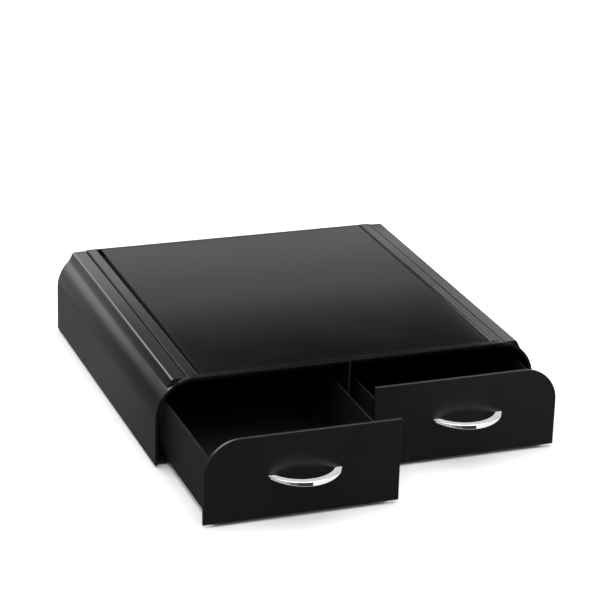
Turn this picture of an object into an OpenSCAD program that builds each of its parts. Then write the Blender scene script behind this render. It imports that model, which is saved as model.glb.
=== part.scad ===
// Two-drawer coffee pod storage unit with an arched housing and a flat top
// platform for a coffee machine.
// Units are millimetres. +X is the viewer's right, +Y is the back, +Z is up.
// The origin is on the supporting plane (underside of the rubber feet), at the
// centre of the housing. Both drawers are drawn partly open.

/* [Housing] */
// Width of the housing
body_w = 410; // [409:1:420]
// Depth of the housing, front rim to rear edge
body_d = 382; // [382:1:400]
// Height of the housing above its bottom edge
body_h = 90.5; // [90.5:0.1:92]
// How far the crown of the arch is cut down to the flat top
crown_cut = 0.5; // [0:0.1:1]
// Thickness of the moulded skin
skin_t = 2.6; // [2:0.1:3.4]
// Outside radius of the two top shoulders
shoulder_r = 42; // [40:0.5:43]
// Height of the rubber feet below the housing
foot_h = 2.5; // [1.5:0.5:5]
// Height of the bay ceiling above the housing's bottom edge
ceiling_z = 84.2; // [84:0.2:85]
// Depth of the mouth that a closed drawer front sits in
mouth_d = 3.6; // [3.4:0.1:5]

/* [Top] */
// Half width of the platform recess
recess_x = 157.6; // [140:0.1:158]
// Distance from the front rim to the recess
recess_y = 8.4; // [7:0.1:12]
// Width of the lip that closes the recess at the back
lip_w = 2.6; // [2:0.1:6]
// Clearance between the platform and the lip at the back
lip_gap = 0.4; // [0.2:0.1:1]
// Height of the recess floor above the housing's bottom edge
recess_z = 87.4; // [87:0.1:88]
// Width of the dark joint line around the platform
seam_w = 1.7; // [0.8:0.1:2]
// Height of the platform surface above the housing's bottom edge
platform_z = 90.2; // [89.6:0.1:90.4]
// Height of the border around the recess above the housing's bottom edge
border_z = 90.4; // [89.8:0.1:90.4]
// Width of the level border beside the recess
land_x = 3.4; // [1:0.1:4]
// Depth of the level border in front of the recess
land_y = 0.7; // [0.5:0.1:1.5]
// Width of the slope between the border and the side of the top
slope_x = 5.2; // [3:0.1:5.5]
// Depth of the slope between the border and the front rim
slope_y = 3.1; // [2:0.1:4]
// Distance from the front rim to the front end of a side rail
rail_y = 4.5; // [4:0.5:8]
// Width of the dark joint line beside a side rail
rail_gap = 0.8; // [0.2:0.1:1]

/* [Drawers] */
// How far the left drawer stands open
left_open = 142.4; // [0:0.1:290]
// How far the right drawer stands open
right_open = 65.7; // [0:0.1:290]
// Longest travel of a drawer from closed to its stop
travel = 290; // [240:1:300]
// Half width of the gap between the two drawer fronts
front_gap = 1.6; // [1.5:0.1:3]
// Distance from the centre to the outer edge of a drawer front
front_x = 200.8; // [196:0.1:201]
// Bottom edge of a drawer front above the housing's bottom edge
front_z0 = 1.0; // [0.5:0.1:2]
// Top edge of a drawer front above the housing's bottom edge
front_z1 = 86.7; // [84:0.1:87]
// Radius of the drawer front's top outer corner
front_r = 37.4; // [30:0.1:40]
// Thickness of a drawer front
front_t = 3; // [2.5:0.1:3.2]
// Outside face of the bin's outer wall, from the centre
bin_x1 = 192.5; // [188:0.1:193]
// Outside face of the bin's inner wall, from the centre
bin_x0 = 10; // [9:0.1:12]
// Underside of the bin above the housing's bottom edge
bin_z0 = 3.9; // [3.8:0.1:5]
// Top of the bin's walls above the housing's bottom edge
bin_z1 = 64; // [56:0.5:65]
// Length of the bin from front wall to rear wall, outside
bin_l = 372; // [350:1:372]
// Thickness of the bin's walls
bin_t = 2; // [1.6:0.1:3]

/* [Handles] */
// Width of a handle over its feet
handle_w = 75.6; // [70:0.1:90]
// Width of a handle's band
band_w = 7.7; // [6:0.1:9]
// How far a handle's bow stands out
handle_out = 24.6; // [20:0.1:30]
// Height of a handle's band
handle_h = 5; // [4.5:0.1:7]
// Height of a handle's band at its two feet
foot_band_h = 2.6; // [2.6:0.1:5]
// Top face of a handle above the housing's bottom edge
handle_z = 44.8; // [40:0.1:50]
// How far both handles stand to the right of the middle of their fronts
handle_shift = 1.9; // [-5:0.1:5]

/* [Hidden] */
$fn = 96;
e = 1;
yf = -body_d / 2;
yb = body_d / 2;
hw = body_w / 2;
arc_x = hw - shoulder_r;
arc_z = body_h + crown_cut - shoulder_r;
in_r = shoulder_r - skin_t;
in_w = hw - skin_t;
mouth_top = arc_z + in_r;
base_t = skin_t;
base_y0 = yf + 4.5;
back_y = yb - skin_t;
// side rails, measured from the centre of the shoulder's arc
rail_k = shoulder_r / 42;
rail_in_x = arc_x + 9.3 * rail_k;
ledge_z = arc_z + 39 * rail_k;
peg_x = arc_x + 16 * rail_k;
peg_y = [-140, -47, 47, 140];
boss_x = in_w - 3;
boss_y = [-140, 0, 140];
div_boss_y = [-135, -45, 45, 135];
foot_xy = [[178, 165], [-178, 165], [178, -165], [-178, -165], [0, 0]];
foot_r = 8;
front_cx = (front_x + front_gap) / 2;
// middles of the handles; the left drawer is drawn mirrored
left_cx = front_cx - handle_shift;
right_cx = front_cx + handle_shift;
screw_r = 1.5;
pilot_r = 1.55;
// chord and rise of the inner edge of a handle's bow
hi_c = handle_w / 2 - band_w;
hi_s = handle_out - band_w;
ho_c = handle_w / 2;
ri = (hi_c * hi_c + hi_s * hi_s) / (2 * hi_s);
ro = (ho_c * ho_c + handle_out * handle_out) / (2 * handle_out);
hscrew_x = 32.3;
hscrew_z = handle_z - 1.6;
hscrew_r = 1.2;
// radius of the arched underside of a handle
hb_rise = handle_h - foot_band_h;
hb_r = (ho_c * ho_c + hb_rise * hb_rise) / (2 * hb_rise);
corner_screws = [[16, 12], [16, 52], [166, 12], [166, 52]];
stop_y1 = yf + front_t + bin_l - 3 - travel - 0.3;
black = [0.07, 0.07, 0.075];
satin = [0.10, 0.10, 0.105];
dark = [0.04, 0.04, 0.042];
rubber = [0.02, 0.02, 0.02];
steel = [0.62, 0.62, 0.60];
chrome = [0.88, 0.89, 0.90];

// lifts a shape from the housing's bottom edge to above the feet
module up() { translate([0, 0, foot_h]) children(); }

// extrudes a profile drawn in X and Z along Y
module along_y(y0, y1) {
    translate([0, y1, 0]) rotate([90, 0, 0]) linear_extrude(y1 - y0) children();
}

// extrudes a profile drawn in Y and Z along X
module along_x(x0, x1) {
    translate([x0, 0, 0]) rotate([90, 0, 90]) linear_extrude(x1 - x0) children();
}

// a box from its low corner to its high corner
module box(a, b) { translate(a) cube([b[0] - a[0], b[1] - a[1], b[2] - a[2]]); }

// front outline of the housing, or of its hollow
module arch(w, r, z0) {
    translate([-w, z0]) square([2 * w, arc_z - z0]);
    for (s = [-1, 1]) translate([s * (w - r), arc_z]) circle(r);
    translate([-(w - r), z0]) square([2 * (w - r), arc_z + r - z0]);
}

// hollow of the bays behind the mouth, closed above by the flat ceiling
module bay_outline(z0) {
    intersection() {
        arch(in_w, in_r, z0);
        translate([-in_w, z0]) square([2 * in_w, ceiling_z - z0]);
    }
}

// cross-section of the raised rail over the right shoulder: a nearly flat top
// that rounds over a crest of radius 3 into a steep, hollow outer flank
module rail_outline() {
    difference() {
        translate([arc_x, arc_z]) scale(rail_k) union() {
            polygon([[9.3, 39], [9.3, 40.5], [22.175, 40.028], [22.06, 37.03],
                     [24.766, 38.326], [25.5, 36.8], [26.7, 34.3], [27.9, 32.1],
                     [29.06, 30.18], [27, 28], [15, 37], [13, 39]]);
            translate([22.06, 37.03]) circle(3);
        }
        difference() {
            arch(hw, shoulder_r, 0);
            translate([rail_in_x - rail_gap, ledge_z]) square([20, 10]);
        }
    }
}

// section of the lowered border with its slopes, up through the flat top;
// the border spans -a to b and its slopes are sa and sb wide
module border_outline(a, b, sa, sb) {
    dz = body_h - border_z;
    polygon([[a, border_z], [b, border_z], [b + 3 * sb, border_z + 3 * dz],
             [a - 3 * sa, border_z + 3 * dz]]);
}

module outer_shell() {
    color(satin) up() {
        difference() {
            union() {
                difference() {
                    along_y(yf, yb) intersection() {
                        arch(hw, shoulder_r, 0);
                        translate([-hw, 0]) square([2 * hw, body_h]);
                    }
                    // mouth at the front
                    along_y(yf - e, yf + mouth_d) arch(in_w, in_r, -e);
                    // two bays
                    along_y(yf + mouth_d - e, yb + e) bay_outline(-e);
                    // lowered border around the recess with its slopes
                    intersection() {
                        along_y(yf + 1, yb + e)
                            border_outline(-recess_x - land_x, recess_x + land_x,
                                           slope_x, slope_x);
                        along_x(-hw, hw)
                            border_outline(yf + recess_y - land_y, yb + 2 * e,
                                           slope_y, e);
                    }
                    // recess for the platform
                    box([-recess_x, yf + recess_y, recess_z],
                        [recess_x, yb - lip_w, body_h + e]);
                    // rebates under the inner edges of the side rails
                    for (s = [0, 1]) mirror([s, 0, 0])
                        box([rail_in_x - rail_gap, yf + rail_y, ledge_z],
                            [hw, yb + e, body_h + e]);
                }
                // bosses for the base screws
                for (s = [-1, 1], y = boss_y)
                    translate([s * boss_x, y, base_t]) cylinder(h = 24, r = 3.4);
            }
            for (s = [-1, 1], y = boss_y)
                translate([s * boss_x, y, base_t - e]) cylinder(h = 19, r = pilot_r);
            for (s = [-1, 1], y = peg_y)
                translate([s * peg_x, y, arc_z + 29]) cylinder(h = 14, r = 2.1);
        }
    }
}

module top_platform() {
    color(black) up()
        box([-recess_x + seam_w, yf + recess_y + seam_w, recess_z],
            [recess_x - seam_w, yb - lip_w - lip_gap, platform_z]);
}

module top_rail() {
    union() {
        along_y(yf + rail_y, yb) rail_outline();
        // pegs that hold the rail in the skin
        for (y = peg_y) translate([peg_x, y, ledge_z - 5.5]) cylinder(h = 5.6, r = 2);
    }
}

module right_top_rail() { color(satin) up() top_rail(); }
module left_top_rail() { color(satin) up() mirror([1, 0, 0]) top_rail(); }

module base_plate() {
    color(black) up() difference() {
        box([-in_w, base_y0, 0], [in_w, back_y, base_t]);
        for (s = [-1, 1], y = boss_y) translate([s * boss_x, y, -e]) {
            cylinder(h = base_t + 2 * e, r = 1.7);
            cylinder(h = 1.5 + e, r = 3.2);
        }
        for (y = div_boss_y) translate([0, y, -e]) {
            cylinder(h = base_t + 2 * e, r = 1.7);
            cylinder(h = 1.5 + e, r = 3.2);
        }
        for (p = foot_xy) translate([p[0], p[1], -e]) cylinder(h = 1 + e, r = foot_r);
    }
}

module back_panel() {
    color(black) up() along_y(back_y, yb) bay_outline(0);
}

module centre_divider() {
    color(black) up() difference() {
        union() {
            along_x(-skin_t / 2, skin_t / 2)
                polygon([[yf, 0.3], [yf, mouth_top],
                         [yf + mouth_d, mouth_top], [yf + mouth_d, ceiling_z],
                         [back_y, ceiling_z], [back_y, base_t],
                         [base_y0, base_t], [base_y0, 0.3]]);
            for (y = div_boss_y) translate([0, y, base_t]) cylinder(h = 20, r = 3.4);
        }
        for (y = div_boss_y) translate([0, y, base_t - e]) cylinder(h = 17, r = pilot_r);
    }
}

// beam under the ceiling that keeps a pulled drawer from tipping
module hold_down() {
    box([skin_t / 2, stop_y1 - 20, bin_z1 + 8.6], [11, back_y, ceiling_z]);
}
module left_hold_down() { color(black) up() mirror([1, 0, 0]) hold_down(); }
module right_hold_down() { color(black) up() hold_down(); }

// block under the beam that the drawer's catch meets when fully open
module drawer_stop() {
    box([3, stop_y1 - 7, bin_z1 + 1.5], [11, stop_y1, bin_z1 + 8.6]);
}
module left_drawer_stop() { color(dark) up() mirror([1, 0, 0]) drawer_stop(); }
module right_drawer_stop() { color(dark) up() drawer_stop(); }

// upright strip on the base that guides one side of a bin
module guide(x0) { box([x0, yf + 25, base_t], [x0 + 1.8, back_y - 12, base_t + 10]); }
module left_outer_guide() { color(black) up() mirror([1, 0, 0]) guide(bin_x1 + 0.8); }
module left_inner_guide() { color(black) up() mirror([1, 0, 0]) guide(bin_x0 - 2.6); }
module right_inner_guide() { color(black) up() guide(bin_x0 - 2.6); }
module right_outer_guide() { color(black) up() guide(bin_x1 + 0.8); }

module rear_bumpers() {
    color(rubber) up()
        for (s = [-1, 1], x = [bin_x0 + 25, bin_x1 - 25])
            translate([s * x, back_y, 34]) rotate([90, 0, 0]) cylinder(h = 4.1, r = 5);
}

module rubber_feet() {
    color(rubber) for (p = foot_xy) translate([p[0], p[1], 0])
        cylinder(h = foot_h + 1, r = foot_r);
}

// screw with a flat head below and a round shank above
module screw_up(l) {
    cylinder(h = 1.5, r = 3);
    cylinder(h = l, r = screw_r);
}
module base_screws() {
    color(steel) up() for (s = [-1, 1], y = boss_y)
        translate([s * boss_x, y, 0]) screw_up(16);
}
module divider_screws() {
    color(steel) up() for (y = div_boss_y) translate([0, y, 0]) screw_up(16);
}

// ---- drawer pieces, drawn for the right drawer, closed ----

module drawer_bin(cx) {
    y0 = yf + front_t;
    difference() {
        box([bin_x0, y0, bin_z0], [bin_x1, y0 + bin_l, bin_z1]);
        box([bin_x0 + bin_t, y0 + bin_t, bin_z0 + bin_t],
            [bin_x1 - bin_t, y0 + bin_l - bin_t, bin_z1 + e]);
        for (c = corner_screws) translate([bin_x0 + c[0], y0 - e, bin_z0 + c[1] - 4])
            rotate([-90, 0, 0]) cylinder(h = bin_t + 2 * e, r = 1.6);
        for (s = [-1, 1]) translate([cx + s * hscrew_x, y0 - e, hscrew_z])
            rotate([-90, 0, 0]) cylinder(h = bin_t + 2 * e, r = hscrew_r + 0.1);
    }
}

module front_outline() {
    difference() {
        translate([front_gap, front_z0]) square([front_x - front_gap, front_z1 - front_z0]);
        translate([front_x - front_r, front_z1 - front_r]) square([front_r + e, front_r + e]);
    }
    intersection() {
        translate([front_x - front_r, front_z1 - front_r]) circle(front_r);
        translate([front_x - front_r, front_z1 - front_r]) square([front_r + e, front_r + e]);
    }
}

module drawer_front(cx) {
    difference() {
        along_y(yf, yf + front_t) front_outline();
        for (c = corner_screws) translate([bin_x0 + c[0], yf + front_t - 2.2, bin_z0 + c[1] - 4])
            rotate([-90, 0, 0]) cylinder(h = 2.2 + e, r = pilot_r);
        for (s = [-1, 1]) translate([cx + s * hscrew_x, yf - e, hscrew_z])
            rotate([-90, 0, 0]) cylinder(h = front_t + 2 * e, r = hscrew_r + 0.1);
    }
}

module drawer_handle(cx) {
    difference() {
        intersection() {
            // bow seen from above
            translate([cx, yf, handle_z - handle_h]) linear_extrude(handle_h)
                difference() {
                    translate([0, ro - handle_out]) circle(ro);
                    translate([0, ri - hi_s]) circle(ri);
                    translate([-ro - e, 0]) square([2 * ro + 2 * e, 2 * ro + 2 * e]);
                }
            // arched underside seen from the front
            along_y(yf - handle_out - e, yf + e)
                translate([cx, handle_z - handle_h + hb_r]) circle(hb_r, $fn = 1440);
        }
        for (s = [-1, 1]) translate([cx + s * hscrew_x, yf - 6, hscrew_z])
            rotate([-90, 0, 0]) cylinder(h = 6 + e, r = hscrew_r + 0.05);
    }
}

// screw pointing to the front with its head inside the bin
module screw_front(reach, r, head_r) {
    y0 = yf + front_t + bin_t;
    translate([0, y0, 0]) rotate([-90, 0, 0]) cylinder(h = 1.6, r = head_r);
    translate([0, y0 - reach, 0]) rotate([-90, 0, 0]) cylinder(h = reach + 0.5, r = r);
}
module handle_screws(cx) {
    for (s = [-1, 1]) translate([cx + s * hscrew_x, 0, hscrew_z])
        screw_front(front_t + bin_t + 5.6, hscrew_r, 2.4);
}
module front_screws() {
    for (c = corner_screws) translate([bin_x0 + c[0], 0, bin_z0 + c[1] - 4])
        screw_front(bin_t + 2, screw_r, 2.9);
}
module drawer_glides() {
    for (x = [bin_x0 + 6, bin_x1 - 18])
        box([x, yf + front_t + 6, bin_z0 - 1], [x + 12, yf + front_t + bin_l - 4, bin_z0]);
}
module drawer_catch() {
    y1 = yf + front_t + bin_l;
    box([4.5, y1, bin_z1 - 12], [bin_x0 + 12, y1 + 0.8, bin_z1 + 7.8]);
    box([4.5, y1 - 3, bin_z1 + 1.5], [bin_x0 + 12, y1, bin_z1 + 7.8]);
}

module in_left() { color(satin) up() translate([0, -left_open, 0]) mirror([1, 0, 0]) children(); }
module in_right() { color(satin) up() translate([0, -right_open, 0]) children(); }

module left_drawer_bin() { in_left() drawer_bin(left_cx); }
module left_drawer_front() { in_left() drawer_front(left_cx); }
module left_handle() { color(chrome) in_left() drawer_handle(left_cx); }
module left_handle_screws() { color(steel) in_left() handle_screws(left_cx); }
module left_front_screws() { color(steel) in_left() front_screws(); }
module left_drawer_glides() { color(dark) in_left() drawer_glides(); }
module left_drawer_catch() { color(dark) in_left() drawer_catch(); }
module right_drawer_bin() { in_right() drawer_bin(right_cx); }
module right_drawer_front() { in_right() drawer_front(right_cx); }
module right_handle() { color(chrome) in_right() drawer_handle(right_cx); }
module right_handle_screws() { color(steel) in_right() handle_screws(right_cx); }
module right_front_screws() { color(steel) in_right() front_screws(); }
module right_drawer_glides() { color(dark) in_right() drawer_glides(); }
module right_drawer_catch() { color(dark) in_right() drawer_catch(); }

outer_shell();
top_platform();
left_top_rail();
right_top_rail();
base_plate();
back_panel();
centre_divider();
left_hold_down();
right_hold_down();
left_drawer_stop();
right_drawer_stop();
left_outer_guide();
left_inner_guide();
right_inner_guide();
right_outer_guide();
rear_bumpers();
rubber_feet();
base_screws();
divider_screws();
left_drawer_bin();
left_drawer_front();
left_handle();
left_handle_screws();
left_front_screws();
left_drawer_glides();
left_drawer_catch();
right_drawer_bin();
right_drawer_front();
right_handle();
right_handle_screws();
right_front_screws();
right_drawer_glides();
right_drawer_catch();
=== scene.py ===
import math

import bmesh
import bpy
from mathutils import Matrix, Vector


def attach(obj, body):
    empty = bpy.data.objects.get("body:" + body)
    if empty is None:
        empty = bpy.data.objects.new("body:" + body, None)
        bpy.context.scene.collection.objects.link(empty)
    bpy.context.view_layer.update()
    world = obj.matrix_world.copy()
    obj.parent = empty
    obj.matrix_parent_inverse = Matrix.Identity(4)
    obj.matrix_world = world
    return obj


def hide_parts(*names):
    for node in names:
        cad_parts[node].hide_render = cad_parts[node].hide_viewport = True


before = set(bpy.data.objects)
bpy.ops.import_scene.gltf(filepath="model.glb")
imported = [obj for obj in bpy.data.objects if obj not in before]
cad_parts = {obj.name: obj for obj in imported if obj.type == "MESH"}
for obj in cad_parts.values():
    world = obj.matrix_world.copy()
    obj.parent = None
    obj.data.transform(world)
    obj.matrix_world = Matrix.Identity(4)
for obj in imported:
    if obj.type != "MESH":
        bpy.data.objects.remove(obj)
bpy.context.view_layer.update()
scene = bpy.context.scene
scene.view_settings.view_transform = "Standard"
scene.view_settings.look = "None"

# ---------------------------------------------------------------- sizes, mm
MM = 0.001
YF, YB = -191.0, 191.0
HW, SKIN, SH_R, BH, CROWN, FH = 205.0, 2.6, 42.0, 90.5, 0.5, 2.5
ARC_X, ARC_Z = HW - SH_R, BH + CROWN - SH_R
IN_W, IN_R = HW - SKIN, SH_R - SKIN
CEIL, MOUTH = 84.2, 3.6
REC_X, REC_Y, GROOVE_Z, SEAM, PLAT_Z, BORDER_Z = 157.6, 8.4, 85.3, 1.7, 90.2, 90.4
LIP, LIP_GAP, RAIL_Y, RAIL_X, RAIL_GAP, LEDGE = 2.6, 0.4, 4.5, 172.3, 0.8, 88.0
L_OPEN, R_OPEN = 142.4, 65.7
GAP, FX, FZ0, FZ1, FR, FT = 1.6, 200.8, 1.0, 86.7, 37.4, 3.0
BX0, BX1, BZ0, BZ1, BL, BT = 10.0, 192.5, 3.9, 64.0, 372.0, 2.0
HDL_W, BAND, OUT, HDL_H, FOOT_H, HDL_Z = 75.6, 7.7, 24.6, 5.0, 2.6, 44.8
CX = (FX + GAP) / 2
TRAVEL = 290.0
BASE_Y0, BACK_Y = YF + 4.5, YB - SKIN


# ---------------------------------------------------------------- mesh tools
class Build:
    """A mesh in the making, in millimetres above the housing's bottom edge. Equal points are one vertex."""

    def __init__(self, lift=FH):
        self.bm = bmesh.new()
        self.lift = lift
        self.seen = {}

    def v(self, x, y, z):
        key = (round(x, 4), round(y, 4), round(z, 4))
        if key not in self.seen:
            self.seen[key] = self.bm.verts.new((key[0], key[1], key[2] + self.lift))
        return self.seen[key]

    def face(self, *points):
        vs = []
        for p in points:
            q = self.v(*p)
            if not vs or vs[-1] is not q:
                vs.append(q)
        while len(vs) > 1 and vs[0] is vs[-1]:
            vs.pop()
        if len(set(vs)) < 3 or len(set(vs)) != len(vs):
            return None
        found = self.bm.faces.get(vs)
        return found or self.bm.faces.new(vs)

    def prism(self, outline, axis, a, b):
        """outline extruded along axis from a to b. The outline is in (x, z) along Y, (y, z) along X and (x, y) along Z."""
        def at(p, t):
            return {"x": (t, p[0], p[1]), "y": (p[0], t, p[1]), "z": (p[0], p[1], t)}[axis]
        n = len(outline)
        self.face(*[at(p, a) for p in outline])
        self.face(*[at(p, b) for p in reversed(outline)])
        for i in range(n):
            p, q = outline[i], outline[(i + 1) % n]
            self.face(at(p, a), at(q, a), at(q, b), at(p, b))

    def box(self, lo, hi):
        self.prism([(lo[0], lo[1]), (hi[0], lo[1]), (hi[0], hi[1]), (lo[0], hi[1])], "z", lo[2], hi[2])

    def revolve(self, profile, centre, axis, n=40):
        """profile is (radius, height) from the axis at one end to the axis at the other."""
        cx, cy, cz = centre

        def at(r, h, i):
            t = 2 * math.pi * i / n
            c, s = r * math.cos(t), r * math.sin(t)
            return {"z": (cx + c, cy + s, cz + h), "y": (cx + c, cy + h, cz + s), "x": (cx + h, cy + c, cz + s)}[axis]

        for (r0, h0), (r1, h1) in zip(profile, profile[1:]):
            for i in range(n):
                j = (i + 1) % n
                self.face(at(r0, h0, i), at(r0, h0, j), at(r1, h1, j), at(r1, h1, i))


def arc(cx, cz, r, a0, a1, n):
    """n + 1 points of a circle, angles in degrees."""
    return [(cx + r * math.cos(math.radians(a0 + (a1 - a0) * i / n)),
             cz + r * math.sin(math.radians(a0 + (a1 - a0) * i / n))) for i in range(n + 1)]


def link(name, mesh):
    ob = bpy.data.objects.new(name, mesh)
    scene.collection.objects.link(ob)
    return ob


def settle(ob):
    """Applies the modifiers of ob to its mesh."""
    dg = bpy.context.evaluated_depsgraph_get()
    made = bpy.data.meshes.new_from_object(ob.evaluated_get(dg), preserve_all_data_layers=True, depsgraph=dg)
    old = ob.data
    ob.modifiers.clear()
    ob.data = made
    bpy.data.meshes.remove(old)
    made.name = ob.name


def piece(name, build, body, material, nodes=(), soft=0.4, rules=(), segments=3, angle=24.0, move=(0, 0, 0), mirror=False, joint=None):
    """Turns a Build into a finished piece: rounded edges, a wear mask on the roundings, a material and a body.
    soft is the edge rounding in mm; each rule takes an edge's middle, the edge and its bend and returns a rounding or
    None.
    the last argument gives 1 where a point (x, y, z above the housing's bottom edge) lies down in a joint, where the
    plastic is dull and its colour is darkened as painted shade, and a number below 0 where it is rubbed smooth."""
    bm = build.bm
    bmesh.ops.dissolve_degenerate(bm, edges=bm.edges, dist=1e-4)
    bmesh.ops.recalc_face_normals(bm, faces=bm.faces)
    bm.normal_update()
    layer = bm.edges.layers.float.new("bevel_weight_edge")
    widest = max([soft] + [0.0])
    picks = []
    for e in bm.edges:
        if len(e.link_faces) != 2:
            continue
        bend = math.degrees(e.calc_face_angle(0.0))
        mid = (e.verts[0].co + e.verts[1].co) / 2
        mid = Vector((mid.x, mid.y, mid.z - build.lift))
        width = soft if bend > angle else 0.0
        if bend > 5.0:
            for rule in rules:
                got = rule(mid, e, bend)
                if got is not None:
                    width = got
        picks.append((e, width))
        widest = max(widest, width)
    for e, width in picks:
        e[layer] = width / widest if widest else 0.0
    if mirror:
        bmesh.ops.scale(bm, vec=(-1, 1, 1), verts=bm.verts)
        bmesh.ops.reverse_faces(bm, faces=bm.faces)
    bmesh.ops.translate(bm, vec=move, verts=bm.verts)
    bmesh.ops.scale(bm, vec=(MM, MM, MM), verts=bm.verts)
    mesh = bpy.data.meshes.new(name)
    bm.to_mesh(mesh)
    bm.free()
    ob = link(name, mesh)
    mesh.materials.append(material)
    mesh.materials.append(material)
    if widest:
        bevel = ob.modifiers.new("round", "BEVEL")
        bevel.limit_method = "WEIGHT"
        bevel.width = widest * MM
        bevel.offset_type = "OFFSET"
        bevel.segments = segments
        bevel.material = 1
        bevel.use_clamp_overlap = True
        bevel.miter_outer = "MITER_SHARP"
        bevel.loop_slide = True
        settle(ob)
    finish_mesh(ob, joint)
    dress(ob, body, nodes)
    return ob


def finish_mesh(ob, joint=None):
    """Smooth shading with flat faces kept flat, and the wear mask: 1 on the crown of a rounded edge."""
    mesh = ob.data
    bm = bmesh.new()
    bm.from_mesh(mesh)
    bmesh.ops.remove_doubles(bm, verts=bm.verts, dist=2e-6)
    wear = bm.verts.layers.float.new("wear")
    for v in bm.verts:
        v[wear] = 1.0 if v.link_faces and all(f.material_index == 1 for f in v.link_faces) else 0.0
    # the mask for dull plastic and painted shade down in joints
    if joint:
        dull_shade_layer = bm.verts.layers.float.new("joint")
        for v in bm.verts:
            v[dull_shade_layer] = float(joint(abs(v.co.x) / MM, v.co.y / MM, v.co.z / MM - FH))
    for f in bm.faces:
        f.material_index = 0
        f.smooth = True
    for e in bm.edges:
        e.smooth = not (len(e.link_faces) == 2 and e.calc_face_angle(0.0) > math.radians(38))
    bm.to_mesh(mesh)
    bm.free()
    while len(mesh.materials) > 1:
        mesh.materials.pop(index=len(mesh.materials) - 1)
    weighted = ob.modifiers.new("flats", "WEIGHTED_NORMAL")
    weighted.mode = "FACE_AREA"
    weighted.weight = 50
    weighted.keep_sharp = True


def dress(ob, body, nodes):
    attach(ob, body)
    if nodes:
        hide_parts(*nodes)


# ---------------------------------------------------------------- materials
class Tree:
    def __init__(self, name):
        self.mat = bpy.data.materials.new(name)
        self.mat.use_nodes = True
        self.nodes = self.mat.node_tree.nodes
        self.links = self.mat.node_tree.links
        self.shader = self.nodes["Principled BSDF"]
        self.coords = self.nodes.new("ShaderNodeTexCoord").outputs["Object"]

    def set(self, **values):
        for key, value in values.items():
            self.shader.inputs[key.replace("_", " ")].default_value = value

    def link(self, a, b):
        self.links.new(a, b)

    def stretched(self, scale):
        n = self.nodes.new("ShaderNodeMapping")
        n.inputs["Scale"].default_value = scale
        self.link(self.coords, n.inputs["Vector"])
        return n.outputs["Vector"]

    def noise(self, scale, detail=2.0, rough=0.5, vector=None, distortion=0.0):
        n = self.nodes.new("ShaderNodeTexNoise")
        n.inputs["Scale"].default_value = scale
        n.inputs["Detail"].default_value = detail
        n.inputs["Roughness"].default_value = rough
        n.inputs["Distortion"].default_value = distortion
        self.link(vector or self.coords, n.inputs["Vector"])
        return n.outputs["Fac"]

    def ranged(self, value, a, b, c, d):
        n = self.nodes.new("ShaderNodeMapRange")
        for key, x in zip(("From Min", "From Max", "To Min", "To Max"), (a, b, c, d)):
            n.inputs[key].default_value = x
        n.clamp = True
        self.link(value, n.inputs["Value"])
        return n.outputs["Result"]

    def math(self, kind, a, b):
        n = self.nodes.new("ShaderNodeMath")
        n.operation = kind
        for i, x in enumerate((a, b)):
            if isinstance(x, (int, float)):
                n.inputs[i].default_value = x
            else:
                self.link(x, n.inputs[i])
        return n.outputs[0]

    def mix(self, factor, a, b):
        n = self.nodes.new("ShaderNodeMix")
        n.data_type = "RGBA"
        if isinstance(factor, (int, float)):
            n.inputs[0].default_value = factor
        else:
            self.link(factor, n.inputs[0])
        for i, x in ((6, a), (7, b)):
            if isinstance(x, tuple):
                n.inputs[i].default_value = (*x, 1)
            else:
                self.link(x, n.inputs[i])
        return n.outputs[2]

    def bump(self, height, strength, distance):
        n = self.nodes.new("ShaderNodeBump")
        n.inputs["Strength"].default_value = strength
        n.inputs["Distance"].default_value = distance
        self.link(height, n.inputs["Height"])
        self.link(n.outputs["Normal"], self.shader.inputs["Normal"])

    def mask(self, name):
        n = self.nodes.new("ShaderNodeAttribute")
        n.attribute_type = "GEOMETRY"
        n.attribute_name = name
        return n.outputs["Fac"]

    def wear(self):
        return self.mask("wear")


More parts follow.
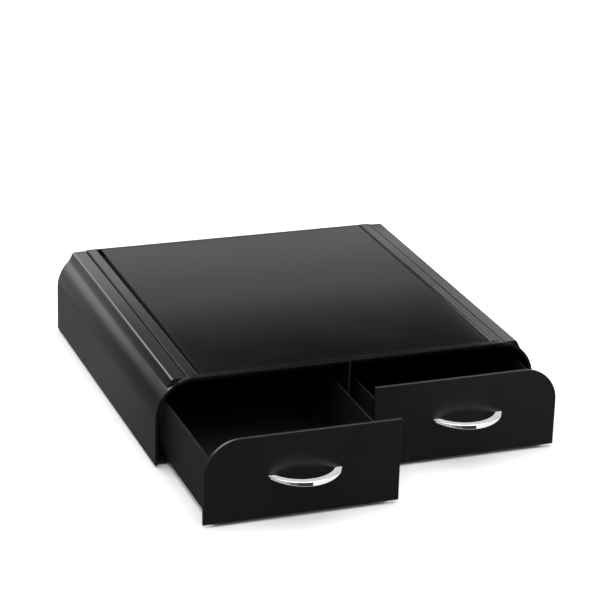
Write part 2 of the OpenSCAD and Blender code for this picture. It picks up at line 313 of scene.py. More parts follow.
def plastic(name, colour, lift, rough, level, grain, grain_strength, scratch=0.05):
    """Moulded plastic: fine spark grain, slow gloss variation, hairline handling marks, edges polished lighter by use,
    and painted shade down in joints, where the colour is darkened and the plastic is dull.
    """
    t = Tree(name)
    t.set(IOR=1.5, Specular_IOR_Level=level)
    slow = t.noise(9.0, 3.0, 0.55)
    mid = t.noise(70.0, 4.0, 0.6)
    fine = t.noise(grain, 3.0, 0.6)
    marks = t.ranged(t.noise(1.0, 2.0, 0.5, t.stretched((34.0, 420.0, 420.0)), 0.4), 0.60, 0.72, 0.0, 1.0)
    marks2 = t.ranged(t.noise(1.0, 2.0, 0.5, t.stretched((520.0, 28.0, 520.0)), 0.4), 0.62, 0.74, 0.0, 1.0)
    marks = t.math("MAXIMUM", marks, marks2)
    marks = t.math("MULTIPLY", marks, t.ranged(mid, 0.45, 0.65, 0.0, 1.0))
    broken = t.math("MULTIPLY", t.wear(), t.ranged(mid, 0.38, 0.62, 0.25, 1.0))
    dark = tuple(c * 0.82 for c in colour)
    body = t.mix(t.ranged(slow, 0.35, 0.65, 0.0, 1.0), dark, colour)
    body = t.mix(t.math("MULTIPLY", t.ranged(fine, 0.55, 0.75, 0.0, 1.0), 0.30), body, tuple(c * 1.5 for c in colour))
    body = t.mix(t.math("MULTIPLY", broken, 0.8), body, lift)
    # painted shade: down in the joints the base colour is darkened to 0.3 of itself; the same mask makes the plastic
    # duller below
    body = t.mix(t.mask("joint"), body, tuple(c * 0.3 for c in colour))
    t.link(body, t.shader.inputs["Base Color"])
    r = t.math("ADD", t.ranged(slow, 0.3, 0.7, rough - 0.03, rough + 0.03), t.ranged(fine, 0.3, 0.7, -0.02, 0.03))
    r = t.math("ADD", r, t.math("MULTIPLY", marks, scratch))
    r = t.math("SUBTRACT", r, t.math("MULTIPLY", broken, 0.06))
    r = t.math("ADD", r, t.math("MULTIPLY", t.mask("joint"), 0.65))
    t.link(r, t.shader.inputs["Roughness"])
    t.bump(t.math("ADD", fine, t.math("MULTIPLY", marks, -0.25)), grain_strength, 0.00006)
    return t.mat


def metal(name, colour, rough, along, spread):
    """Plated metal with a faint polishing direction and small handling marks."""
    t = Tree(name)
    t.set(Metallic=1.0)
    grain = t.noise(1.0, 3.0, 0.6, t.stretched(along))
    slow = t.noise(45.0, 3.0, 0.6)
    specks = t.ranged(t.noise(900.0, 2.0, 0.5), 0.66, 0.78, 0.0, 1.0)
    body = t.mix(t.ranged(slow, 0.3, 0.7, 0.0, 1.0), tuple(c * 0.94 for c in colour), colour)
    body = t.mix(t.math("MULTIPLY", specks, 0.35), body, tuple(c * 0.6 for c in colour))
    t.link(body, t.shader.inputs["Base Color"])
    r = t.math("ADD", t.ranged(grain, 0.3, 0.7, rough - spread, rough + spread), t.ranged(slow, 0.3, 0.7, -0.02, 0.02))
    t.link(t.math("ADD", r, t.math("MULTIPLY", specks, 0.12)), t.shader.inputs["Roughness"])
    t.bump(grain, 0.05, 0.00004)
    return t.mat


def rubber(name, colour):
    t = Tree(name)
    t.set(IOR=1.5, Specular_IOR_Level=0.3)
    fine = t.noise(1500.0, 4.0, 0.65)
    slow = t.noise(60.0, 3.0, 0.6)
    body = t.mix(t.ranged(slow, 0.35, 0.65, 0.0, 1.0), colour, tuple(c * 1.7 for c in colour))
    t.link(t.mix(t.math("MULTIPLY", t.wear(), 0.5), body, tuple(c * 2.6 for c in colour)), t.shader.inputs["Base Color"])
    t.link(t.ranged(fine, 0.3, 0.7, 0.72, 0.9), t.shader.inputs["Roughness"])
    t.bump(fine, 0.25, 0.0001)
    return t.mat


housing = plastic("housing_black", (0.0070, 0.0070, 0.0073), (0.022, 0.022, 0.023), 0.125, 0.50, 1900.0, 0.05)
platform = plastic("platform_black", (0.0060, 0.0060, 0.0062), (0.016, 0.016, 0.017), 0.10, 0.17, 1500.0, 0.04)
inner = plastic("inner_black", (0.0120, 0.0120, 0.0123), (0.022, 0.022, 0.023), 0.42, 0.32, 1600.0, 0.12)
front = plastic("front_black", (0.0075, 0.0075, 0.0078), (0.030, 0.030, 0.031), 0.31, 0.50, 2000.0, 0.06, 0.08)
chrome = metal("handle_chrome", (0.90, 0.905, 0.91), 0.10, (60.0, 900.0, 900.0), 0.02)
steel = metal("screw_steel", (0.56, 0.56, 0.55), 0.34, (700.0, 700.0, 700.0), 0.06)
feet_rubber = rubber("rubber_black", (0.012, 0.012, 0.012))


# ---------------------------------------------------------------- outer shell
def border_steps():
    """Contours of the lowered border, from the flat top in to the recess: x, distance from the front, z beside the recess, z in front of it."""
    side = BH + 0.12
    # beside the recess it falls outwards by about a degree
    steps = [(166.8, 4.55, BH, BH), (165.8, 4.85, BH + 0.017, BH), (162.6, 7.3, BH + 0.08, BH), (161.2, 7.55, side, BH)]
    for i in range(8):
        t = math.radians(i * 80 / 7)
        drop = 2.2 * (1 - math.cos(t))
        steps.append((160.9 - 2.2 * math.sin(t), 7.7 + 0.7 * math.sin(t), side - drop, BH - drop))
    steps.append((158.7, REC_Y, GROOVE_Z, GROOVE_Z))
    return steps


def outer_shell():
    b = Build()
    a_led = math.degrees(math.asin((LEDGE - ARC_Z) / SH_R))
    x_c = RAIL_X - RAIL_GAP
    a_c = math.degrees(math.acos((x_c - ARC_X) / SH_R))
    a_f = math.degrees(math.asin((BH - ARC_Z) / SH_R))
    low = [(HW, 0.0)] + arc(ARC_X, ARC_Z, SH_R, 0, a_led, 30)
    x_b = 175.0
    z_b = ARC_Z + math.sqrt(SH_R ** 2 - (x_b - ARC_X) ** 2)
    mid = arc(ARC_X, ARC_Z, SH_R, a_c, a_f, 4)
    steps = border_steps()

    def row(dy, rail, level, least=0.0):
        """level is the height that the border has reached at this distance from the front."""
        pts = list(low)
        pts.append((x_c, LEDGE) if rail else (x_b, z_b))
        pts += mid
        full = min(1.0, max(0.0, (dy - 4.55) / 2.75))
        pts += [(x, max(z if z < BH else BH + (z - BH) * full, level, least)) for x, _, z, _ in steps]
        return [(x, YF + dy, z) for x, z in pts]

    depth = YB - YF
    rows = [row(0, False, BH), row(RAIL_Y, False, BH), row(RAIL_Y, True, BH)]
    rows += [row(dy, True, z) for _, dy, _, z in steps]
    rows += [row(depth - LIP, True, 0), row(depth - LIP, True, 0, BORDER_Z), row(depth, True, 0, BORDER_Z)]
    a_in = math.degrees(math.asin((CEIL - ARC_Z) / IN_R))
    in_low = [(IN_W, 0.0)] + arc(ARC_X, ARC_Z, IN_R, 0, a_in, 26)
    in_top = arc(ARC_X, ARC_Z, IN_R, a_in, 90, 8)[1:]

    def in_row(dy, bay):
        return [(x, YF + dy, z) for x, z in in_low + [(x, CEIL if bay else z) for x, z in in_top]]

    inner_rows = [in_row(0, False), in_row(MOUTH, False), in_row(MOUTH, True), in_row(YB - YF, True)]

    def flip(p):
        return (-p[0], p[1], p[2])

    for grid in (rows, inner_rows):
        for r0, r1 in zip(grid, grid[1:]):
            for i in range(len(r0) - 1):
                for s in (lambda p: p, flip):
                    b.face(s(r0[i]), s(r0[i + 1]), s(r1[i + 1]), s(r1[i]))
            b.face(r0[-1], flip(r0[-1]), flip(r1[-1]), r1[-1])
    for outer, inside in ((rows[0], inner_rows[0]), (rows[-1], inner_rows[-1])):
        ring = outer + [flip(p) for p in reversed(outer)]
        hole = inside + [flip(p) for p in reversed(inside)]
        b.face(*ring, *reversed(hole))
    for s in (lambda p: p, flip):
        b.face(*[s(r[0]) for r in rows], *[s(r[0]) for r in reversed(inner_rows)])

    def rule(mid, e, bend):
        y = mid.y - YF
        flat = abs(e.verts[0].co.y - e.verts[1].co.y) < 1e-4
        if y < 0.01:
            r = math.hypot(abs(mid.x) - ARC_X, mid.z - ARC_Z) if abs(mid.x) > ARC_X else mid.z - ARC_Z
            if mid.z < ARC_Z:
                r = abs(mid.x) - ARC_X
            if mid.z < 0.01:
                return 0.3
            return 0.4 if r > SH_R - 1 else 0.35
        if abs(mid.z - CEIL) < 0.01 and not flat:
            return 1.2
        if mid.z > 88.5 and abs(abs(mid.x) - x_c) < 0.1 and mid.y > YF + RAIL_Y + 0.01:
            return 0.0
        if mid.z > 86 and mid.y < YB - 1 and (abs(mid.x) < 166.9 or bend < 24):
            return 0.3 if mid.y > YB - LIP - 0.01 and mid.z > 90 else 0.0
        return None

    # the grooves by the border and beside the rail get painted shade (darker colour) and duller plastic through the
    # last argument
    ob = piece("shell_skin", b, "housing", housing, ["outer_shell"], soft=0.4, rules=[rule], segments=3,
               joint=lambda x, y, z: z > 86 and (x < 158.9 and z < 88.9 or 170.4 < x < 179 and z < 90.4))
    # screw bosses down the inside of both side walls
    c = Build()
    for s in (-1, 1):
        for y in (-140, 0, 140):
            c.revolve([(0, SKIN), (3.4, SKIN), (3.4, 26.3), (3.1, 26.6), (0, 26.6)], (s * (IN_W - 3), y, 0), "z", 32)
    piece("shell_bosses", c, "housing", inner, soft=0)
    return ob


outer_shell()


# ---------------------------------------------------------------- rails and platform
def rails():
    a_foot = math.degrees(math.acos((191.85 - ARC_X) / SH_R))
    low = arc(ARC_X, ARC_Z, SH_R + 0.02, a_foot, math.degrees(math.asin((LEDGE - ARC_Z) / SH_R)), 10)
    crest = arc(185.06, 86.03, 3.0, 87.8, 25.6, 14)
    foot = [(188.5, 85.8), (189.7, 83.3), (190.9, 81.1)]
    # the top eases down towards the groove beside it
    ease = [(173.5 - 1.2 * math.cos(t), 89.1 + 0.37 * math.sin(t)) for t in (0.0, 0.14, 0.4, 0.75, 1.12, math.pi / 2)]
    outline = [(RAIL_X, LEDGE + 0.02)] + ease + crest + foot + low
    for name, node, mirror in (("rail_right", "right_top_rail", False), ("rail_left", "left_top_rail", True)):
        b = Build()
        b.prism(outline, "y", YF + RAIL_Y, YB)

        def rule(mid, e, bend):
            if mid.z < 88.1:
                return 0.0
            if mid.x < 175 and mid.y > YF + RAIL_Y + 0.01:
                return 0.0
            if mid.y < YF + RAIL_Y + 0.01:
                return 0.5
            return None

        # the rail's face in the gap gets painted shade (darker colour) and duller plastic through the last argument
        piece(name, b, "housing", housing, [node], soft=0.3, rules=[rule], mirror=mirror,
              joint=lambda x, y, z: x < RAIL_X + 0.05 and z < 88.8)


def top_platform():
    b = Build()
    # the plate lies loose in its recess, 1.3 mm towards the right
    b.box((-REC_X + SEAM + 1.3, YF + REC_Y + SEAM, GROOVE_Z), (REC_X - SEAM + 1.3, YB - LIP - LIP_GAP, PLAT_Z))
    # the plate's sides below its top get painted shade (darker colour) and duller plastic through the last argument
    piece("platform_plate", b, "housing", platform, ["top_platform"], soft=0.15, segments=3,
          joint=lambda x, y, z: z < 89.9)


rails()
top_platform()


# ---------------------------------------------------------------- parts inside the housing
def housing_insides():
    b = Build()
    a_in = math.degrees(math.asin((CEIL - ARC_Z) / IN_R))
    half = [(IN_W, 0.0)] + arc(ARC_X, ARC_Z, IN_R, 0, a_in, 26)
    # a fine joint line runs around the cover
    half = [(x * (1 - 0.3 / IN_W), 0.3 + z * (CEIL - 0.6) / CEIL) for x, z in half]
    b.prism(half + [(-x, z) for x, z in reversed(half)], "y", BACK_Y, YB - 0.3)
    piece("back_cover", b, "housing", housing, ["back_panel"], soft=0.5)

    b = Build()
    s = SKIN / 2
    b.prism([(YF, 0.3), (BASE_Y0, 0.3), (BASE_Y0, SKIN), (BACK_Y, SKIN), (BACK_Y, CEIL), (YF + MOUTH, CEIL),
             (YF + MOUTH, ARC_Z + IN_R), (YF, ARC_Z + IN_R)], "x", -s, s)
    piece("divider_wall", b, "housing", inner, ["centre_divider"], soft=0.4,
          rules=[lambda m, e, bend: 0.7 if m.y < YF + 0.01 and 1 < m.z < 88 else None])
    b = Build()
    for y in (-135, -45, 45, 135):
        b.revolve([(0, SKIN), (3.4, SKIN), (3.4, 22.3), (3.1, 22.6), (0, 22.6)], (0, y, 0), "z", 32)
    piece("divider_bosses", b, "housing", inner, soft=0)

    stop_y1 = YF + FT + BL - 3 - TRAVEL - 0.3
    for side, mirror in (("right", False), ("left", True)):
        b = Build()
        b.box((s, stop_y1 - 20, BZ1 + 8.6), (11, BACK_Y, CEIL))
        piece(f"hold_down_{side}", b, "housing", inner, [f"{side}_hold_down"], soft=0.5, mirror=mirror)
        b = Build()
        b.box((3, stop_y1 - 7, BZ1 + 1.5), (11, stop_y1, BZ1 + 8.6))
        piece(f"stop_{side}", b, "housing", inner, [f"{side}_drawer_stop"], soft=0.5, mirror=mirror)
        for which, x0 in (("outer", BX1 + 0.8), ("inner", BX0 - 2.6)):
            b = Build()
            b.box((x0, YF + 25, SKIN), (x0 + 1.8, BACK_Y - 12, SKIN + 10))
            piece(f"guide_{side}_{which}", b, "housing", inner, [f"{side}_{which}_guide"], soft=0.5, mirror=mirror)

    b = Build()
    for s in (-1, 1):
        for x in (BX0 + 25, BX1 - 25):
            b.revolve([(0, 0), (5, 0), (5, -2.6), (4.85, -3.3), (4.4, -3.8), (3.6, -4.1), (0, -4.1)], (s * x, BACK_Y, 34), "y", 40)
    piece("bumper_pads", b, "housing", feet_rubber, ["rear_bumpers"], soft=0)

    b = Build(0)
    for x, y in ((178, 165), (-178, 165), (178, -165), (-178, -165), (0, 0)):
        b.revolve([(0, 0.35), (1.6, 0.35), (1.9, 0), (3.4, 0), (3.7, 0.35), (4.3, 0.35), (4.6, 0), (6.9, 0), (7.5, 0.25),
                   (7.9, 0.8), (8, 1.4), (8, 3.5), (0, 3.5)], (x, y, 0), "z", 48)
    piece("foot_pads", b, "housing", feet_rubber, ["rubber_feet"], soft=0)

    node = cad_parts["base_plate"]
    node.data.materials.clear()
    node.data.materials.append(inner)


housing_insides()


# ---------------------------------------------------------------- screws
def screw_heads(name, body, nodes, spots, head_r, head_h, shank_r, reach, axis, flat=False):
    """Screws with a cross recess. spots are the centres of the heads' seats; a head faces +Y or -Z, its shank runs the other way."""
    b = Build(0)
    if flat:
        prof = [(0, 0), (head_r - 0.25, 0), (head_r, 0.25), (shank_r, head_h)]
    else:
        prof = [(0, 0), (head_r * 0.45, 0.06), (head_r * 0.72, 0.22), (head_r * 0.9, 0.5), (head_r, 0.9), (head_r, head_h), (shank_r, head_h)]
    prof += [(shank_r, reach - 1.0), (shank_r * 0.35, reach), (0, reach)]
    b.revolve(prof, (0, 0, 0), "z", 32)
    bm = b.bm
    bmesh.ops.recalc_face_normals(bm, faces=bm.faces)
    mesh = bpy.data.meshes.new(name)
    bm.to_mesh(mesh)
    bm.free()
    ob = link(name, mesh)
    cut = Build(0)
    w, l, d = head_r * 0.14, head_r * 0.58, head_h * 0.72
    cross = [(w, w), (l, w), (l, -w), (w, -w), (w, -l), (-w, -l), (-w, -w), (-l, -w), (-l, w), (-w, w), (-w, l), (w, l)]
    top = [(x, y, -1.0) for x, y in cross]
    low = [(x * 0.8, y * 0.8, d) for x, y in cross]
    cut.face(*top)
    cut.face(*reversed(low))
    for i in range(12):
        j = (i + 1) % 12
        cut.face(top[i], top[j], low[j], low[i])
    bmesh.ops.recalc_face_normals(cut.bm, faces=cut.bm.faces)
    cmesh = bpy.data.meshes.new("cut")
    cut.bm.to_mesh(cmesh)
    cut.bm.free()
    tool = link("cut", cmesh)
    m = ob.modifiers.new("cross", "BOOLEAN")
    m.operation = "DIFFERENCE"
    m.solver = "EXACT"
    m.object = tool
    settle(ob)
    bpy.data.objects.remove(tool)
    one = ob.data
    bm = bmesh.new()
    for i, (x, y, z) in enumerate(spots):
        part = bmesh.new()
        part.from_mesh(one)
        turn = Matrix.Rotation(0.5 + 1.3 * i, 4, "Z")
        if axis == "y":
            turn = Matrix.Rotation(math.radians(90), 4, "X") @ turn
        part.transform(Matrix.Translation((x, y, z)) @ turn)
        part.transform(Matrix.Scale(MM, 4))
        tmp = bpy.data.meshes.new("tmp")
        part.to_mesh(tmp)
        part.free()
        bm.from_mesh(tmp)
        bpy.data.meshes.remove(tmp)
    bm.to_mesh(one)
    bm.free()
    one.materials.append(steel)
    finish_mesh(ob)
    dress(ob, body, nodes)


bx = IN_W - 3
screw_heads("screws_base", "housing", ["base_screws"], [(s * bx, y, FH) for s in (-1, 1) for y in (-140, 0, 140)], 3.0, 1.5, 1.5, 16, "z", True)
screw_heads("screws_divider", "housing", ["divider_screws"], [(0, y, FH) for y in (-135, -45, 45, 135)], 3.0, 1.5, 1.5, 16, "z", True)


# ---------------------------------------------------------------- drawers
def drawer(side, body, opened, mirror):
    """The pieces are drawn for the right drawer, closed, then mirrored for the left and slid open."""
    shift = (0, -opened, 0)
    s = -1 if mirror else 1

    # bin: an open box with a rounded rim and moulded corner fillets
    b = Build()
    y0, y1 = YF + FT, YF + FT + BL
    lo, hi = (BX0, y0, BZ0), (BX1, y1, BZ1)
    il, ih = (BX0 + BT, y0 + BT, BZ0 + BT), (BX1 - BT, y1 - BT, BZ1)

    def ring(a, c, z):
        return [(a[0], a[1], z), (c[0], a[1], z), (c[0], c[1], z), (a[0], c[1], z)]

    o0, o1, i0, i1 = ring(lo, hi, BZ0), ring(lo, hi, BZ1), ring(il, ih, BZ0 + BT), ring(il, ih, BZ1)
    b.face(*reversed(o0))
    b.face(*i0)
    for k in range(4):
        j = (k + 1) % 4
        b.face(o0[k], o0[j], o1[j], o1[k])
        b.face(o1[k], o1[j], i1[j], i1[k])
        b.face(i0[k], i1[k], i1[j], i0[j])

    def rule(m, e, bend):
        inside = il[0] - 0.01 < m.x < ih[0] + 0.01 and il[1] - 0.01 < m.y < ih[1] + 0.01
        if abs(m.z - BZ1) < 0.01:
            return 0.12
        if inside and m.z > BZ0 + 1:
            return 1.9
        if m.y < y0 + 0.01:
            return 0.2
        return 1.4

    piece(f"bin_{side}", b, body, inner, [f"{side}_drawer_bin"], soft=0.5, rules=[rule], segments=5, move=shift, mirror=mirror,
          joint=lambda x, y, z: -0.42 if z > BZ1 - 0.1 else 0)

    # front panel
    b = Build()
    outline = [(GAP, FZ0), (FX, FZ0)] + arc(FX - FR, FZ1 - FR, FR, 0, 90, 36) + [(GAP, FZ1)]
    b.prism(outline, "y", YF, YF + FT)
    piece(f"front_{side}", b, body, front, [f"{side}_drawer_front"], soft=0.3,
          rules=[lambda m, e, bend: 0.45 if m.y < YF + 0.01 else None], segments=4, move=shift, mirror=mirror)

    # bow handle: a crescent seen from above with an arched underside
    cx = CX - 1.9 if mirror else CX + 1.9
    ho, hi_c, hi_s = HDL_W / 2, HDL_W / 2 - BAND, OUT - BAND
    ro = (ho * ho + OUT * OUT) / (2 * OUT)
    ri = (hi_c * hi_c + hi_s * hi_s) / (2 * hi_s)
    rise = HDL_H - FOOT_H
    rb = (ho * ho + rise * rise) / (2 * rise)
    to, ti = math.asin(ho / ro), math.asin(hi_c / ri)
    b = Build()
    n = 72
    rings = []
    for i in range(n + 1):
        u = 2 * i / n - 1
        xo, yo = ro * math.sin(u * to), ro - OUT - ro * math.cos(u * to)
        xi, yi = ri * math.sin(u * ti), ri - hi_s - ri * math.cos(u * ti)
        zo = HDL_Z - HDL_H + rb - math.sqrt(rb * rb - xo * xo)
        zi = HDL_Z - HDL_H + rb - math.sqrt(rb * rb - xi * xi)
        rings.append([(cx + xo, YF + min(yo, 0), zo), (cx + xo, YF + min(yo, 0), HDL_Z), (cx + xi, YF + min(yi, 0), HDL_Z), (cx + xi, YF + min(yi, 0), zi)])
    for r0, r1 in zip(rings, rings[1:]):
        for k in range(4):
            j = (k + 1) % 4
            b.face(r0[k], r0[j], r1[j], r1[k])
    b.face(*rings[0])
    b.face(*reversed(rings[-1]))
    piece(f"handle_{side}", b, body, chrome, [f"{side}_handle"], soft=0.9, segments=5, angle=40,
          rules=[lambda m, e, bend: 0.0 if m.y > YF - 0.01 else None], move=shift, mirror=mirror)

    # screws: heads inside the bin, shanks through its front wall
    seat = YF + FT + BT - opened
    spots = [(s * (BX0 + c[0]), seat + 1.6, BZ0 + c[1] - 4 + FH) for c in ((16, 12), (16, 52), (166, 12), (166, 52))]
    screw_heads(f"screws_front_{side}", body, [f"{side}_front_screws"], spots, 2.9, 1.6, 1.5, 1.6 + BT + 2, "y")
    spots = [(s * (cx + k * 32.3), seat + 1.6, HDL_Z - 1.6 + FH) for k in (-1, 1)]
    screw_heads(f"screws_handle_{side}", body, [f"{side}_handle_screws"], spots, 2.4, 1.6, 1.2, 1.6 + BT + FT + 5.6, "y")

    # glide strips under the bin and the catch on its rear wall
    b = Build()
    for x in (BX0 + 6, BX1 - 18):
        b.box((x, y0 + 6, BZ0 - 1), (x + 12, y1 - 4, BZ0))
    piece(f"glides_{side}", b, body, inner, [f"{side}_drawer_glides"], soft=0.3, move=shift, mirror=mirror)
    b = Build()
    b.prism([(y1 - 3, BZ1 + 1.5), (y1, BZ1 + 1.5), (y1, BZ1 - 12), (y1 + 0.8, BZ1 - 12), (y1 + 0.8, BZ1 + 7.8), (y1 - 3, BZ1 + 7.8)],
            "x", 4.5, BX0 + 12)
    piece(f"catch_{side}", b, body, inner, [f"{side}_drawer_catch"], soft=0.25, segments=2, move=shift, mirror=mirror)


drawer("left", "left_drawer", L_OPEN, True)
drawer("right", "right_drawer", R_OPEN, False)


# ---------------------------------------------------------------- studio
class Glow:
    """A node graph that works out a brightness from a position or a direction."""

    def __init__(self, tree, vector):
        self.nodes, self.links, self.vector = tree.nodes, tree.links, vector
        split = self.nodes.new("ShaderNodeSeparateXYZ")
        self.links.new(vector, split.inputs[0])
        self.x, self.y, self.z = split.outputs

    def op(self, kind, a, b):
        n = self.nodes.new("ShaderNodeMath")
        n.operation = kind
        for i, v in enumerate((a, b)):
            if isinstance(v, (int, float)):
                n.inputs[i].default_value = v
            else:
                self.links.new(v, n.inputs[i])
        return n.outputs[0]

    def ramp(self, value, a, b, c, d):
        n = self.nodes.new("ShaderNodeMapRange")
        n.interpolation_type = "SMOOTHSTEP"
        for key, v in zip(("From Min", "From Max", "To Min", "To Max"), (a, b, c, d)):
            n.inputs[key].default_value = v
        self.links.new(value, n.inputs["Value"])
        return n.outputs["Result"]

    def steps(self, value, pairs):
        """Straight lines between (value, brightness) pairs."""
        total = pairs[0][1]
        for (v0, b0), (v1, b1) in zip(pairs, pairs[1:]):
            n = self.nodes.new("ShaderNodeMapRange")
            for key, v in zip(("From Min", "From Max", "To Min", "To Max"), (v0, v1, 0.0, b1 - b0)):
                n.inputs[key].default_value = v
            self.links.new(value, n.inputs["Value"])
            total = self.op("ADD", total, n.outputs["Result"])
        return total

    def lobe(self, azimuth, elevation, inner_deg, outer_deg, strength):
        """A soft round patch of light in a direction. Azimuth 0 is +Y and grows towards +X."""
        a, e = math.radians(azimuth), math.radians(elevation)
        d = self.nodes.new("ShaderNodeVectorMath")
        d.operation = "DOT_PRODUCT"
        self.links.new(self.vector, d.inputs[0])
        d.inputs[1].default_value = (math.sin(a) * math.cos(e), math.cos(a) * math.cos(e), math.sin(e))
        return self.ramp(d.outputs["Value"], math.cos(math.radians(outer_deg)), math.cos(math.radians(inner_deg)), 0, strength)


def card(name, corners, brightness, only=(), one_sided=False):
    """A studio card that is seen only in reflections. brightness is made by a function of a Glow; only lists the pieces it lights."""
    mesh = bpy.data.meshes.new(name)
    mesh.from_pydata(corners, [], [tuple(range(len(corners)))])
    ob = link(name, mesh)
    mat = bpy.data.materials.new(name)
    mat.use_nodes = True
    nodes, links = mat.node_tree.nodes, mat.node_tree.links
    nodes.clear()
    glow = Glow(mat.node_tree, nodes.new("ShaderNodeTexCoord").outputs["Object"])
    shade = nodes.new("ShaderNodeEmission")
    value = brightness(glow)
    if isinstance(value, (int, float)):
        shade.inputs["Strength"].default_value = value
    else:
        links.new(value, shade.inputs["Strength"])
    out = nodes.new("ShaderNodeOutputMaterial")
    if one_sided:
        clear, mix = nodes.new("ShaderNodeBsdfTransparent"), nodes.new("ShaderNodeMixShader")
        links.new(nodes.new("ShaderNodeNewGeometry").outputs["Backfacing"], mix.inputs["Fac"])
        links.new(shade.outputs[0], mix.inputs[1])
        links.new(clear.outputs[0], mix.inputs[2])
        shade = mix
    links.new(shade.outputs[0], out.inputs["Surface"])
    mesh.materials.append(mat)
    ob.visible_camera = ob.visible_diffuse = ob.visible_shadow = ob.visible_transmission = False
    if only:
        # cards with the same targets share one collection, because Blender links lights to at most 64 of them
        group = bpy.data.collections.get(only[0].name + "_lit")
        if not group:
            group = bpy.data.collections.new(only[0].name + "_lit")
            for o in only:
                group.objects.link(o)
        ob.light_linking.receiver_collection = group
    return ob


def studio():
    floor = Build(0)
    floor.face((-9000, -9000, -0.02), (9000, -9000, -0.02), (9000, 9000, -0.02), (-9000, 9000, -0.02))
    mesh = bpy.data.meshes.new("studio_floor")
    bmesh.ops.scale(floor.bm, vec=(MM, MM, MM), verts=floor.bm.verts)
    floor.bm.to_mesh(mesh)
    floor.bm.free()
    ob = link("studio_floor", mesh)
    t = Tree("studio_floor")
    t.set(Specular_IOR_Level=0.0, Roughness=1.0)
    t.link(t.mix(t.noise(3.0, 2.0, 0.5), (0.90, 0.90, 0.90), (0.93, 0.93, 0.93)), t.shader.inputs["Base Color"])
    mesh.materials.append(t.mat)
    ob.visible_glossy = False

    def table(g):
        # the table top as the gloss shows it: dim, and lighter towards the light at the back left
        s = g.op("ADD", g.y, g.op("MULTIPLY", g.op("ADD", g.x, 0.225), 1.8))
        left = g.steps(s, [(-0.45, 0.09), (-0.25, 0.10), (-0.10, 0.125), (0.07, 0.21), (0.20, 0.33), (0.34, 0.48)])
        # painted shadow: beside the housing's left wall the table is capped at 0.20, as if shaded by the wall
        wall_shaded = g.op("MINIMUM", left, 0.20)
        k = g.ramp(g.x, -0.34, -0.24, 1.0, 0.0)
        left = g.op("ADD", g.op("MULTIPLY", left, k), g.op("MULTIPLY", wall_shaded, g.op("SUBTRACT", 1.0, k)))
        side = g.ramp(g.x, -0.215, -0.19, 1.0, 0.0)
        right = g.op("ADD", 0.05, g.op("MULTIPLY", g.ramp(g.x, 0.05, 0.25, 0.0, 0.14), g.ramp(g.y, -0.55, -0.30, 1.0, 0.6)))
        behind = g.op("MULTIPLY", g.ramp(g.y, 0.22, 0.50, 0.0, 0.35), g.ramp(g.x, -0.16, -0.06, 0.0, 1.0))
        right = g.op("ADD", right, behind)
        return g.op("ADD", g.op("MULTIPLY", left, side), g.op("MULTIPLY", right, g.op("SUBTRACT", 1.0, side)))

    card("table_card", [(-9, -9, -0.002), (9, -9, -0.002), (9, 9, -0.002), (-9, 9, -0.002)], table)

    def back(g):
        # the card is laid out by the spot of the unit's level top that mirrors each of its points to the camera
        t = g.op("DIVIDE", 0.9155, g.op("ADD", g.z, 0.822))
        x = g.op("SUBTRACT", g.op("MULTIPLY", g.op("ADD", g.x, 0.828), t), 0.828)
        y = g.op("SUBTRACT", g.op("MULTIPLY", t, 2.6807), 2.2307)
        middle = g.steps(y, [(-0.165, 0.0), (-0.12, 0.06), (-0.06, 0.25), (-0.03, 0.37), (0.0, 0.58), (0.06, 0.66), (0.15, 0.88), (0.19, 0.98), (0.205, 0.98), (0.225, 0.0)])
        left = g.steps(y, [(-0.30, 0.05), (-0.20, 0.22), (-0.15, 0.27), (-0.06, 0.32), (0.0, 0.60), (0.06, 0.95), (0.15, 1.15), (0.19, 1.25), (0.205, 1.25), (0.225, 0.0)])
        right = g.steps(y, [(-0.30, 0.10), (-0.21, 0.92), (-0.15, 1.02), (-0.06, 0.90), (0.06, 0.62), (0.15, 0.85), (0.20, 0.85), (0.25, 0.60)])
        gone = g.op("MAXIMUM", g.ramp(x, 0.20, 0.25, 0.0, 1.0), g.ramp(y, 0.205, 0.225, 1.0, 0.0))
        right = g.op("MULTIPLY", right, gone)
        to_right, to_left = g.ramp(x, 0.163, 0.167, 0.0, 1.0), g.ramp(x, -0.167, -0.162, 1.0, 0.0)
        light = g.op("ADD", g.op("MULTIPLY", right, to_right), g.op("MULTIPLY", left, to_left))
        return g.op("ADD", light, g.op("MULTIPLY", middle, g.op("SUBTRACT", 1.0, g.op("ADD", to_right, to_left))))

    card("back_card", [(-0.16, 0.45, 0.0), (1.1, 0.45, 0.0), (1.1, 0.45, 0.46), (0.0, 0.45, 0.46), (-0.07, 0.45, 0.30), (-0.16, 0.45, 0.20)], back)

    def strip(g):
        across = g.steps(g.x, [(-1.05, 0.1), (-0.95, 0.3), (-0.88, 0.45), (-0.81, 0.9), (-0.75, 1.27), (-0.69, 1.58), (-0.60, 1.6), (-0.48, 1.2)])
        return g.op("MULTIPLY", across, g.steps(g.z, [(0.0, 0.25), (0.12, 0.43), (0.22, 0.8), (0.30, 1.0), (0.38, 0.95), (0.50, 0.2), (0.55, 0.0)]))

    card("strip_card", [(-1.2, 1.2, 0.0), (-0.46, 1.2, 0.0), (-0.46, 1.2, 0.55), (-1.2, 1.2, 0.55)], strip)

    # bounced light in the gap between the left side wall and the pulled drawer
    gap_x = -(IN_W - 0.4) * MM
    card("gap_card", [(gap_x, YF * MM, 0.004), (gap_x, -0.05, 0.004), (gap_x, -0.05, 0.060), (gap_x, YF * MM, 0.060)], lambda g: 0.04,
         [bpy.data.objects["bin_left"]], one_sided=True)

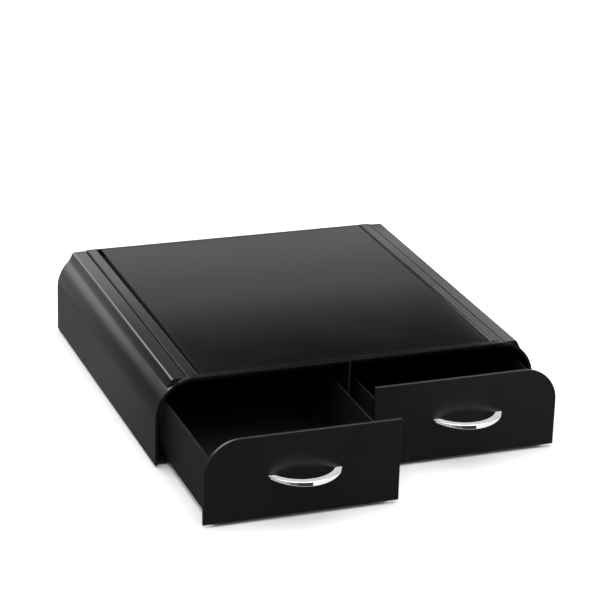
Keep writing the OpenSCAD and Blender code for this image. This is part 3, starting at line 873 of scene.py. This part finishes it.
    # small cards over the handles, seen from the front only
    for side, x0, opened in (("left", -CX + 1.9, L_OPEN), ("right", CX + 1.9, R_OPEN)):
        y = (YF - opened - 0.5) * MM
        lo, hi = (x0 - HDL_W / 2 - 2) * MM, (x0 + HDL_W / 2 + 11) * MM
        z0, z1 = (HDL_Z + FH) * MM, (HDL_Z + FH + 13) * MM
        card(f"handle_card_{side}", [(lo, y, z0), (hi, y, z0), (hi, y, z1), (lo, y, z1)], lambda g: 0.72, one_sided=True)
        # and a gutter of card around the bow: its floor gives the light line along the lower edge, its side the streaks above it
        ro = ((HDL_W / 2) ** 2 + OUT ** 2) / (2 * OUT)
        rb = ((HDL_W / 2) ** 2 + (HDL_H - FOOT_H) ** 2) / (2 * (HDL_H - FOOT_H))
        lines = [[], [], []]
        for i in range(25):
            a = math.asin(HDL_W / 2 / ro) * (i / 12 - 1) * 0.97
            z = HDL_Z + FH - HDL_H + rb - math.sqrt(rb ** 2 - (ro * math.sin(a)) ** 2) - 2.5
            for line, r, h in zip(lines, (ro - 0.5, ro + 2.9, ro + 3.0), (z, z, HDL_Z + FH + 0.5)):
                line.append(((x0 + r * math.sin(a)) * MM, (YF - opened + ro - OUT - r * math.cos(a)) * MM, h * MM))
        handle = [bpy.data.objects[f"handle_{side}"]]
        for i in range(24):
            card(f"handle_line_{side}_{i}", [lines[1][i], lines[1][i + 1], lines[0][i + 1], lines[0][i]], lambda g: 0.6, handle)
            x = (lines[2][i][0] + lines[2][i + 1][0]) / 2 / MM - x0
            streak = 1.05 if x > -2 else 0.04 if x > -15 else 0.15 if x > -22 else 0.35 if x > -28 else 0.5
            card(f"handle_streak_{side}_{i}", [lines[2][i], lines[2][i + 1], (*lines[2][i + 1][:2], lines[1][i + 1][2]),
                                               (*lines[2][i][:2], lines[1][i][2])], lambda g: streak, handle)

    world = bpy.data.worlds.new("studio")
    scene.world = world
    world.use_nodes = True
    nodes, links = world.node_tree.nodes, world.node_tree.links
    nodes.clear()
    g = Glow(world.node_tree, nodes.new("ShaderNodeTexCoord").outputs["Generated"])
    light = 0.03
    for patch in ((0, 90, 20, 60, 2.9), (-17, 24, 5, 27, 3.2), (180, 28, 5, 34, 0.5), (140, 22, 5, 28, 0.9), (85, 33, 4, 16, 1.4), (95, 15, 5, 34, 0.35), (-100, 18, 5, 34, 0.35)):
        light = g.op("ADD", light, g.lobe(*patch))
    shade = nodes.new("ShaderNodeBackground")
    links.new(light, shade.inputs["Strength"])
    shade.inputs["Color"].default_value = (1, 1, 1, 1)
    pale = nodes.new("ShaderNodeBackground")
    pale.inputs["Color"].default_value = (0.93, 0.93, 0.93, 1)
    mix = nodes.new("ShaderNodeMixShader")
    path = nodes.new("ShaderNodeLightPath")
    out = nodes.new("ShaderNodeOutputWorld")
    links.new(path.outputs["Is Camera Ray"], mix.inputs["Fac"])
    links.new(shade.outputs[0], mix.inputs[1])
    links.new(pale.outputs[0], mix.inputs[2])
    links.new(mix.outputs[0], out.inputs["Surface"])


studio()


# ---------------------------------------------------------------- camera
def camera():
    yaw, pitch, roll = math.radians(20.7186), math.radians(21.1919), math.radians(-1.8621)
    fwd = Vector((math.sin(yaw) * math.cos(pitch), math.cos(yaw) * math.cos(pitch), -math.sin(pitch)))
    right = Vector((math.cos(yaw), -math.sin(yaw), 0))
    down = fwd.cross(right)
    r = right * math.cos(roll) + down * math.sin(roll)
    d = down * math.cos(roll) - right * math.sin(roll)
    where = Vector((-0.8280107, -2.2306908, 1.0091393))
    data = bpy.data.cameras.new("camera")
    data.sensor_width = 36.0
    data.lens = 2360.2552 / 600 * 36
    data.clip_start, data.clip_end = 0.05, 60
    cam = bpy.data.objects.new("camera", data)
    scene.collection.objects.link(cam)
    m = Matrix(((r.x, -d.x, -fwd.x, where.x), (r.y, -d.y, -fwd.y, where.y), (r.z, -d.z, -fwd.z, where.z), (0, 0, 0, 1)))
    cam.matrix_world = m
    scene.camera = cam


camera()
